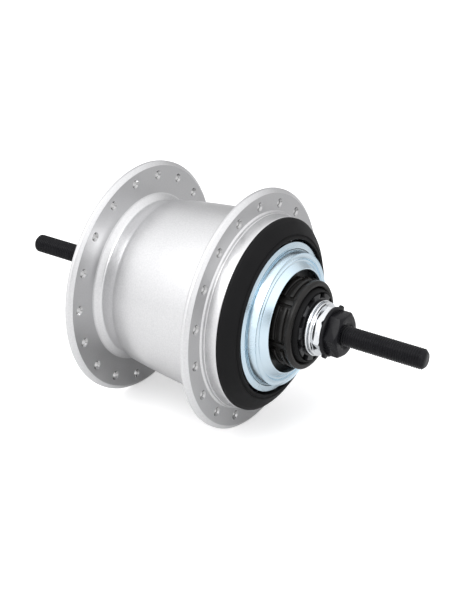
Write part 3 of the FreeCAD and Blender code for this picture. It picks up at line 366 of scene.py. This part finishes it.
def gear_steel():
    finish = Finish("greased_gear_steel", (0.33, 0.33, 0.34), metallic=0.9, roughness=0.35)
    finish.bump(finish.noise(1800, 3), height_mm=0.01, strength=0.5)
    finish.vary_roughness(finish.noise(180, 3), 0.25, 0.45)
    finish.stain(finish.noise(90, 3), 0.6, (0.26, 0.25, 0.23))
    return finish.material


def pressed_steel():
    finish = Finish("pressed_steel", (0.5, 0.5, 0.51), metallic=1.0, roughness=0.32)
    finish.bump(finish.noise(2400, 3), height_mm=0.006, strength=0.5)
    finish.vary_roughness(finish.noise(200, 3), 0.26, 0.4)
    return finish.material


def sintered_bronze():
    finish = Finish("sintered_bronze", (0.5, 0.32, 0.14), metallic=1.0, roughness=0.4)
    finish.bump(finish.noise(2600, 4), height_mm=0.012, strength=0.6)
    finish.vary_roughness(finish.noise(300, 3), 0.34, 0.5)
    return finish.material


FINISHES = {
    "silver_shell": blasted_aluminium(),
    # The turned faces' darker colour is painted shade.
    "turned": turned_aluminium_painted_shade(),
    # The spoke holes' dark wall colour is painted shade.
    "drilled": drilled_aluminium_painted_shade(),
    "black_rubber_plastic": black_plastic(),
    "blue_zinc": blue_zinc(),
    "black_driver": black_oxide(),
    "black_steel": black_steel(),
    "bright_zinc": bright_zinc(),
    "dark_shift": dark_shift_ring(),
    "hard_steel": bearing_steel(),
    "gear_steel": gear_steel(),
    "spring_steel": pressed_steel(),
    "bronze": sintered_bronze(),
}
for part in frame["record"]["subparts"]:
    data = frame["nodes"][part["node"]].data
    data.materials.clear()
    data.materials.append(FINISHES[part["material_slot"]])


# Hub shell. A flange's face is its drive side, and its first hole is an angle from +Z towards -X.
Flange = namedtuple("Flange", "face radius hole_circle first_hole")
LEFT_FLANGE = Flange(face=-40.1, radius=59.575, hole_circle=52.6, first_hole=8.8)
RIGHT_FLANGE = Flange(face=27.0, radius=59.0, hole_circle=52.0, first_hole=-1.2)
FLANGE_THICKNESS = 3.5
BEVEL_LENGTH = 1.6
BEVEL_DEPTH = 2.0
FLANGE_BACK_ROUND = 0.7
FLANGE_RIM_ROUND = 0.5
FLANGE_FACE_ROUND = 0.4

HOLES_PER_FLANGE = 18
HOLE_RADIUS = 1.5
HOLE_SINK = 0.8
HOLE_SIDES = 28
CUTTER_REACH = 0.6
ACROSS_AXIS = 0.99

BOSS_END = -52.0
BOSS_RADIUS = 21.5
BOSS_ROUND = 0.6
BOSS_FOOT = 2.0
CUP_SEAT_RADIUS = 17.0
WEB_BORE = 14.8
WEB_LEFT = -41.8
WEB_RIGHT = -38.0

NECK_TOP = (LEFT_FLANGE.face, 43.6)
NECK_SLOPE = ((-39.5, 42.2), (-37.9, 40.35))
NECK_BOTTOM = (-36.6, 39.75)
NECK_TOP_ROUND = 2.4
NECK_BOTTOM_ROUND = 1.6
CREASE = ((-29.9, 41.35), (-28.7, 41.95))
CREASE_ROUND = 2.6
BARREL_START = (-28.6, 42.0)
BARREL_END_RADIUS = 46.4
BARREL_CROWN = 420
BARREL_FOOT = 2.0

COLLAR_RADIUS = 47.6
COLLAR_FOOT = 0.7
COLLAR_FOOT_ROUND = 0.5
COLLAR_FRONT = 29.1
COLLAR_ROUND = 0.3
MOUTH_FRONT = 34.8
MOUTH_RIM_RADIUS = 46.9
MOUTH_RIM_ROUND = 0.5
MOUTH_RADIUS = 43.4
MOUTH_DEEP = 22.4
CAVITY_RADIUS = 40.5
CAVITY_NARROW_RADIUS = 35.5
CAVITY_TAPER_END = -22.0


def flange_rim(flange):
    """A flange's rim, from its back to its bevelled face."""
    return [(flange.face - FLANGE_THICKNESS, flange.radius, FLANGE_BACK_ROUND),
            (flange.face - BEVEL_LENGTH, flange.radius, FLANGE_RIM_ROUND),
            (flange.face, flange.radius - BEVEL_DEPTH, FLANGE_FACE_ROUND)]


def boss_outline():
    """The bearing's boss on the left, from its seat for the cup to the left flange's back."""
    foot = LEFT_FLANGE.face - FLANGE_THICKNESS
    return [(BOSS_END, CUP_SEAT_RADIUS), (BOSS_END, BOSS_RADIUS, BOSS_ROUND),
            (foot - BOSS_FOOT, BOSS_RADIUS), (foot, BOSS_RADIUS + BOSS_FOOT)]


def barrel_outline():
    """From the left flange down to the neck, up to the crease, and along the crowned barrel."""
    barrel_end = (RIGHT_FLANGE.face - FLANGE_THICKNESS - BARREL_FOOT, BARREL_END_RADIUS)
    return (arc(NECK_TOP, NECK_SLOPE[0], NECK_TOP_ROUND, turn=1, steps=6)
            + arc(NECK_SLOPE[1], NECK_BOTTOM, NECK_BOTTOM_ROUND, turn=1, steps=6)
            + arc(*CREASE, CREASE_ROUND, turn=-1, steps=4)
            + arc(BARREL_START, barrel_end, BARREL_CROWN, turn=-1, steps=24)
            + [(barrel_end[0] + BARREL_FOOT, barrel_end[1] + BARREL_FOOT)])


def collar_outline():
    """The collar on the right flange's face, up to the mouth."""
    return [(RIGHT_FLANGE.face, COLLAR_RADIUS + COLLAR_FOOT, COLLAR_FOOT_ROUND),
            (RIGHT_FLANGE.face + COLLAR_FOOT, COLLAR_RADIUS),
            (COLLAR_FRONT, COLLAR_RADIUS, COLLAR_ROUND), (COLLAR_FRONT, MOUTH_RIM_RADIUS),
            (MOUTH_FRONT, MOUTH_RIM_RADIUS, MOUTH_RIM_ROUND)]


def cavity_outline():
    """The shell's inside, from the mouth to the seat for the left cup."""
    taper_start = CAVITY_TAPER_END + CAVITY_RADIUS - CAVITY_NARROW_RADIUS
    return [(MOUTH_FRONT, MOUTH_RADIUS), (MOUTH_DEEP, MOUTH_RADIUS), (MOUTH_DEEP, CAVITY_RADIUS),
            (taper_start, CAVITY_RADIUS), (CAVITY_TAPER_END, CAVITY_NARROW_RADIUS),
            (WEB_RIGHT, CAVITY_NARROW_RADIUS), (WEB_RIGHT, WEB_BORE), (WEB_LEFT, WEB_BORE),
            (WEB_LEFT, CUP_SEAT_RADIUS)]


def spoke_hole_cutter(flange):
    """Rods with countersinks, to cut one flange's spoke holes."""
    mesh = bmesh.new()
    back = flange.face - FLANGE_THICKNESS
    wide = HOLE_RADIUS + HOLE_SINK + CUTTER_REACH
    outline = [(-CUTTER_REACH, 0.0), (-CUTTER_REACH, wide), (HOLE_SINK, HOLE_RADIUS),
               (FLANGE_THICKNESS - HOLE_SINK, HOLE_RADIUS), (FLANGE_THICKNESS + CUTTER_REACH, wide),
               (FLANGE_THICKNESS + CUTTER_REACH, 0.0)]
    for hole in range(HOLES_PER_FLANGE):
        turn = math.radians(flange.first_hole + 360 / HOLES_PER_FLANGE * hole)
        rings = []
        for along, radius in outline:
            centre = Vector((-flange.hole_circle * math.sin(turn), -(back + along),
                             flange.hole_circle * math.cos(turn)))
            ring = []
            for side in range(HOLE_SIDES if radius else 1):
                angle = 2 * math.pi * side / HOLE_SIDES
                rim = Vector((radius * math.cos(angle), 0, radius * math.sin(angle)))
                ring.append(mesh.verts.new((centre + rim) * MM))
            rings.append(ring)
        join_rings(mesh, rings)
    cutter = finish_mesh(mesh, "spoke_hole_cutter")
    # The hole walls take the drilled finish, whose dark colour is painted shade.
    cutter.data.materials.append(FINISHES["drilled"])
    return cutter


def cut(item, cutter):
    """Cuts one piece with another, which is then removed. The cut takes the cutter's material."""
    modifier = item.modifiers.new("cut", "BOOLEAN")
    modifier.object = cutter
    modifier.operation = "DIFFERENCE"
    modifier.solver = "EXACT"
    modifier.material_mode = "TRANSFER"
    graph = bpy.context.evaluated_depsgraph_get()
    data = bpy.data.meshes.new_from_object(item.evaluated_get(graph))
    item.modifiers.clear()
    item.data = data
    bpy.data.objects.remove(cutter)
    shade(data, SHARP_ANGLE)


def make_shell():
    """Casting with drilled flanges, whose hole walls have a dark colour that is painted shade. Its flat
    faces, across the axis, are turned, and their darker colour is painted shade.
    """
    shell = turned("shell_casting", rounded(
        boss_outline() + flange_rim(LEFT_FLANGE) + barrel_outline() + flange_rim(RIGHT_FLANGE)
        + collar_outline() + cavity_outline()))
    shell.data.materials.append(FINISHES["silver_shell"])
    for flange in (RIGHT_FLANGE, LEFT_FLANGE):
        cut(shell, spoke_hole_cutter(flange))
    casting_slot, turned_shaded_slot = 0, len(shell.data.materials)
    shell.data.materials.append(FINISHES["turned"])
    # Faces across the axis take the turned finish, whose darker colour is painted shade.
    for face in shell.data.polygons:
        if face.material_index == casting_slot and abs(face.normal.y) > ACROSS_AXIS:
            face.material_index = turned_shaded_slot
    place(shell, "shell", "hub_shell", "silver_shell")


# Dust ring in the shell's mouth. Its points are (out, radius) or (out, radius, rounding).
RING_SPIGOT_LENGTH = 2.2
RING_SPIGOT_BORE = 42.5
RING_FIT = 0.05
RING_SET_BACK = 0.2
RING_RIM_LENGTH = 1.4
RING_RIM_ROUND = 0.35
RING_CONE = ((37.6, 45.3, 1.6), (41.2, 39.9, 0.5))
RING_GROOVE = (40.5, 39.2, 0.3)
RING_LIP = ((41.9, 38.5, 0.3), (41.9, 37.55, 0.3))
RING_HOLLOW = ((39.0, 37.2), (35.4, 40.3))


def make_dust_ring():
    """Black ring: spigot in the mouth, rim, long cone, and a lip beside the cap's rim."""
    rim_radius = MOUTH_RIM_RADIUS - RING_SET_BACK
    spigot_end = MOUTH_FRONT - RING_SPIGOT_LENGTH
    spigot_radius = MOUTH_RADIUS - RING_FIT
    ring = turned("mouth_ring_moulding", rounded([
        (MOUTH_FRONT, rim_radius), (MOUTH_FRONT + RING_RIM_LENGTH, rim_radius, RING_RIM_ROUND),
        *RING_CONE, RING_GROOVE, *RING_LIP, *RING_HOLLOW, (MOUTH_FRONT, RING_SPIGOT_BORE),
        (spigot_end, RING_SPIGOT_BORE), (spigot_end, spigot_radius), (MOUTH_FRONT, spigot_radius)],
        steps=6))
    place(ring, "shell", "mouth_dust_ring", "black_rubber_plastic")


# Dust cap on the driver, pressed from sheet. Its points are (out, radius, rounding).
CAP_SHEET = 1.0
CAP_RADIUS = 36.1
CAP_EDGE_ROUND = 0.2
CAP_RIM_FRONT = 42.2
CAP_GROOVE_RADIUS = 33.5
CAP_GROOVE_DEPTH = 0.25
CAP_STEP = ((CAP_RIM_FRONT, 32.8, 0.15), (41.87, 32.45, 0.12), (42.55, 32.1, 0.3))
RIDGE_FOOT_OUT = 46.25
RIDGE_RADII = (32.0, 29.2)
RIDGE_ROUND = 1.68
LAND_FRONT = 45.9
CAP_LAND = ((LAND_FRONT, 28.85, 0.3), (LAND_FRONT, 27.9, 0.7))
LIP_FRONT = 49.0
CAP_BORE = 24.8
CAP_LIP = ((48.3, 25.9, 0.4), (LIP_FRONT, 25.33, 0.3), (LIP_FRONT, CAP_BORE, 0.2))
LAND_BACK_RADII = (26.05, 30.6)
RIM_BACK_RADIUS = 31.45


def make_cap():
    """Pressed cap: flat rim, fine groove and step, round ridge, sunk land and a rolled lip at the hole."""
    front = rounded([
        (CAP_RIM_FRONT, CAP_RADIUS, CAP_EDGE_ROUND),
        (CAP_RIM_FRONT, CAP_GROOVE_RADIUS + CAP_GROOVE_DEPTH),
        (CAP_RIM_FRONT - CAP_GROOVE_DEPTH, CAP_GROOVE_RADIUS),
        (CAP_RIM_FRONT, CAP_GROOVE_RADIUS - CAP_GROOVE_DEPTH), *CAP_STEP], steps=6)
    ridge = arc((RIDGE_FOOT_OUT, RIDGE_RADII[0]), (RIDGE_FOOT_OUT, RIDGE_RADII[1]), RIDGE_ROUND,
                turn=1, steps=12)
    # The guide only steers the first rounding, and is dropped.
    guide = (0, 40)
    lip = rounded([guide, *CAP_LAND, *CAP_LIP, (LIP_FRONT - CAP_SHEET, CAP_BORE)], steps=6)[1:]
    back = [(LAND_FRONT - CAP_SHEET, radius) for radius in LAND_BACK_RADII]
    back += [(CAP_RIM_FRONT - CAP_SHEET, radius) for radius in (RIM_BACK_RADIUS, CAP_RADIUS)]
    cap = turned("pressed_dust_cap", front + ridge + lip + back, sharp_angle=50)
    place(cap, "driver", "driver_dust_cap", "blue_zinc")


# Turned and milled parts that keep the CAD form
EDGE_ROUNDS = {
    "driver": 0.16,
    "driver_seal": 0.12,
    "shift_ring": 0.12,
    "right_locknut": 0.14,
    "right_washer": 0.2,
    "right_axle_nut": 0.18,
    "left_dust_cap": 0.3,
    "left_cone": 0.14,
    "left_spacer": 0.14,
    "left_locknut": 0.16,
    "left_washer": 0.2,
    "left_axle_nut": 0.18,
}


def rounded_copy(node, edge_round):
    """New piece with a CAD node's form, its flat faces whole and its hard edges rounded."""
    mesh = bmesh.new()
    mesh.from_mesh(frame["nodes"][node].data)
    bmesh.ops.remove_doubles(mesh, verts=mesh.verts, dist=SAME_POINT * MM)
    bmesh.ops.dissolve_limit(
        mesh, angle_limit=math.radians(FLAT_ANGLE), verts=mesh.verts, edges=mesh.edges)
    hard = [edge for edge in mesh.edges
            if edge.is_manifold and edge.calc_face_angle() > math.radians(SHARP_ANGLE)]
    bmesh.ops.bevel(mesh, geom=hard, offset=edge_round * MM, offset_type="OFFSET", segments=2,
                    profile=0.5, affect="EDGES", clamp_overlap=True)
    bmesh.ops.remove_doubles(mesh, verts=mesh.verts, dist=SAME_POINT / 10 * MM)
    return finish_mesh(mesh, node + "_rounded")


def make_rounded_parts():
    slots = {part["node"]: part["material_slot"] for part in frame["record"]["subparts"]}
    for node, edge_round in EDGE_ROUNDS.items():
        item = rounded_copy(node, edge_round)
        place(item, body_of(frame["nodes"][node])[0], node, slots[node])


# Axle
AXLE_HALF = 115.0
AXLE_RADIUS = 4.7625
AXLE_CHAMFER = 1.3
THREAD_START = 69.0
THREAD_PITCH = 1.19
THREAD_DEPTH = 0.52
CREST_SHARE = 0.12
FLANK_SHARE = 0.72
RINGS_PER_TURN = 10
THREAD_SIDES = 56


def thread_radius(along, angle):
    """Radius of a V thread with flattened crests and roots."""
    phase = (along / THREAD_PITCH - angle / (2 * math.pi)) % 1.0
    fall = min(max((abs(phase - 0.5) * 2 - CREST_SHARE) / FLANK_SHARE, 0.0), 1.0)
    return AXLE_RADIUS - THREAD_DEPTH * fall


def add_thread(mesh, end):
    """One of the axle's threaded ends. The end is +1 at world +Y and -1 at world -Y."""
    length = AXLE_HALF - THREAD_START
    steps = int(length / (THREAD_PITCH / RINGS_PER_TURN))
    rings = []
    for step in range(steps + 1):
        along = THREAD_START + length * step / steps
        chamfered = AXLE_RADIUS - max(along - (AXLE_HALF - AXLE_CHAMFER), 0)
        ring = []
        for side in range(THREAD_SIDES):
            angle = 2 * math.pi * side / THREAD_SIDES
            radius = min(thread_radius(along, angle * end), chamfered)
            ring.append(mesh.verts.new((
                radius * math.cos(angle) * MM, end * along * MM, radius * math.sin(angle) * MM)))
        rings.append(ring)
    join_rings(mesh, rings)
    mesh.faces.new(rings[0])
    mesh.faces.new(rings[-1])


def make_axle():
    """The rod with its two threaded ends. Its thick core comes from the CAD node's own form."""
    mesh = bmesh.new()
    mesh.from_mesh(frame["nodes"]["axle"].data)
    bmesh.ops.remove_doubles(mesh, verts=mesh.verts, dist=SAME_POINT * MM)
    for end in (1, -1):
        bmesh.ops.bisect_plane(
            mesh, geom=mesh.verts[:] + mesh.edges[:] + mesh.faces[:], dist=SAME_POINT / 10 * MM,
            plane_co=(0, end * THREAD_START * MM, 0), plane_no=(0, end, 0), clear_outer=True)
    for end in (1, -1):
        add_thread(mesh, end)
    axle = finish_mesh(mesh, "threaded_axle", sharp_angle=40)
    place(axle, "axle", "axle", "black_steel")


# Camera. Its place and direction were fitted to the spoke holes and the rings in the photograph.
FILM_HEIGHT = 36.0
FOCAL_LENGTH = 69.0055
LENS_SHIFT = (0.05721, -0.31959)
CAMERA_PLACE = (-436.293, -302.816, 251.949)
CAMERA_BACK = (-0.779649, -0.558356, 0.283525)
CAMERA_ACROSS = (0.581501, -0.813540, -0.003095)
VIEW_DEPTH = 20000


def make_camera():
    camera = bpy.data.objects.new("camera", bpy.data.cameras.new("camera"))
    bpy.context.scene.collection.objects.link(camera)
    camera.data.sensor_fit = "VERTICAL"
    camera.data.sensor_height = FILM_HEIGHT
    camera.data.lens = FOCAL_LENGTH
    camera.data.shift_x, camera.data.shift_y = LENS_SHIFT
    camera.data.clip_end = VIEW_DEPTH * MM
    camera.location = metres(CAMERA_PLACE)
    back, across = Vector(CAMERA_BACK), Vector(CAMERA_ACROSS)
    camera.rotation_euler = Matrix((across, back.cross(across), back)).transposed().to_euler()
    bpy.context.scene.camera = camera


# Light and backdrop. ROOM_LIGHT holds stops, from 0 away from the bright side to 1 towards it, and the
# light's level at each. DIM_EDGES tell how straight a direction must point at the dim side, up to 1.
KEY_PLACE = (-600, 100, 800)
KEY_SIZE = 600
KEY_WATTS = 4.4
BRIGHT_SIDE = (-0.6, -0.35, 0.7)
ROOM_LIGHT = ((0.0, 0.42), (0.33, 0.5), (0.42, 0.85), (0.7, 1.25), (1.0, 1.5))
ROOM_TINT = (1, 1, 1.01)
DIM_SIDE = (-0.75, -0.6, 0.28)
DIM_EDGES = (0.92, 0.98)
DIM_LEVEL = 0.15
FLOOR_LEVEL = -59.65
FLOOR_RADIUS = 3000
FLOOR_SIDES = 96
FLOOR_LIFT = 0.41
FLOOR_DIM_SIDE = (0.97, -0.25, 0.0)
FLOOR_DIM_EDGES = (20, 250)
FLOOR_LEVELS = (0.7, 0.56)


def make_key_light():
    """Soft light from above on the left, aimed at the hub's middle."""
    lamp = bpy.data.lights.new("key", "AREA")
    lamp.shape = "RECTANGLE"
    lamp.size = lamp.size_y = KEY_SIZE * MM
    lamp.energy = KEY_WATTS
    item = bpy.data.objects.new("key", lamp)
    bpy.context.scene.collection.objects.link(item)
    item.location = metres(KEY_PLACE)
    item.rotation_euler = (-metres(KEY_PLACE)).to_track_quat("-Z", "Y").to_euler()


def make_world():
    """Plain room that brightens towards one side and is dim round one direction. The camera sees white."""
    world = bpy.data.worlds.new("studio")
    bpy.context.scene.world = world
    world.use_nodes = True
    tree = world.node_tree
    tree.nodes.clear()
    direction = tree.nodes.new("ShaderNodeTexCoord").outputs["Generated"]
    brightness = map_range(tree, towards(tree, direction, BRIGHT_SIDE), -1.0, 1.0, 0.0, 1.0)
    ramp = add_node(tree, "ShaderNodeValToRGB", Fac=brightness)
    for stop, _ in ROOM_LIGHT[1:-1]:
        ramp.color_ramp.elements.new(stop)
    for element, (stop, level) in zip(ramp.color_ramp.elements, ROOM_LIGHT):
        element.position = stop
        element.color = (*(level * tint for tint in ROOM_TINT), 1)
    dimming = map_range(tree, towards(tree, direction, DIM_SIDE), *DIM_EDGES, 1.0, DIM_LEVEL)
    room = add_node(tree, "ShaderNodeBackground", Color=ramp.outputs["Color"], Strength=dimming)
    white = add_node(tree, "ShaderNodeBackground", Color=(1, 1, 1, 1))
    add_node(tree, "ShaderNodeOutputWorld",
             Surface=camera_sees(tree, white.outputs["Background"], room.outputs["Background"]))


def make_floor():
    """Round floor: white with a soft shadow to the camera, and greyer on one side in reflections."""
    mesh = bmesh.new()
    bmesh.ops.create_circle(mesh, cap_ends=True, segments=FLOOR_SIDES, radius=FLOOR_RADIUS * MM)
    bmesh.ops.translate(mesh, verts=mesh.verts, vec=(0, 0, FLOOR_LEVEL * MM))
    floor = finish_mesh(mesh, "floor")
    finish = Finish("floor_white", (0.8, 0.8, 0.8), metallic=0.0, roughness=0.9, Specular_IOR_Level=0.1)
    tree = finish.tree
    glow = add_node(tree, "ShaderNodeEmission", Strength=FLOOR_LIFT)
    lifted = tree.nodes.new("ShaderNodeAddShader")
    tree.links.new(finish.shader.outputs["BSDF"], lifted.inputs[0])
    tree.links.new(glow.outputs["Emission"], lifted.inputs[1])
    start, end = (edge * MM for edge in FLOOR_DIM_EDGES)
    level = map_range(tree, towards(tree, finish.place, FLOOR_DIM_SIDE), start, end, *FLOOR_LEVELS)
    reflected = add_node(tree, "ShaderNodeBsdfDiffuse", Color=level)
    both = camera_sees(tree, lifted.outputs["Shader"], reflected.outputs["BSDF"])
    tree.links.new(both, tree.nodes["Material Output"].inputs["Surface"])
    floor.data.materials.append(finish.material)


bpy.context.scene.view_settings.view_transform = "Standard"
make_shell()
make_dust_ring()
make_cap()
make_rounded_parts()
make_axle()
make_camera()
make_world()
make_floor()
make_key_light()
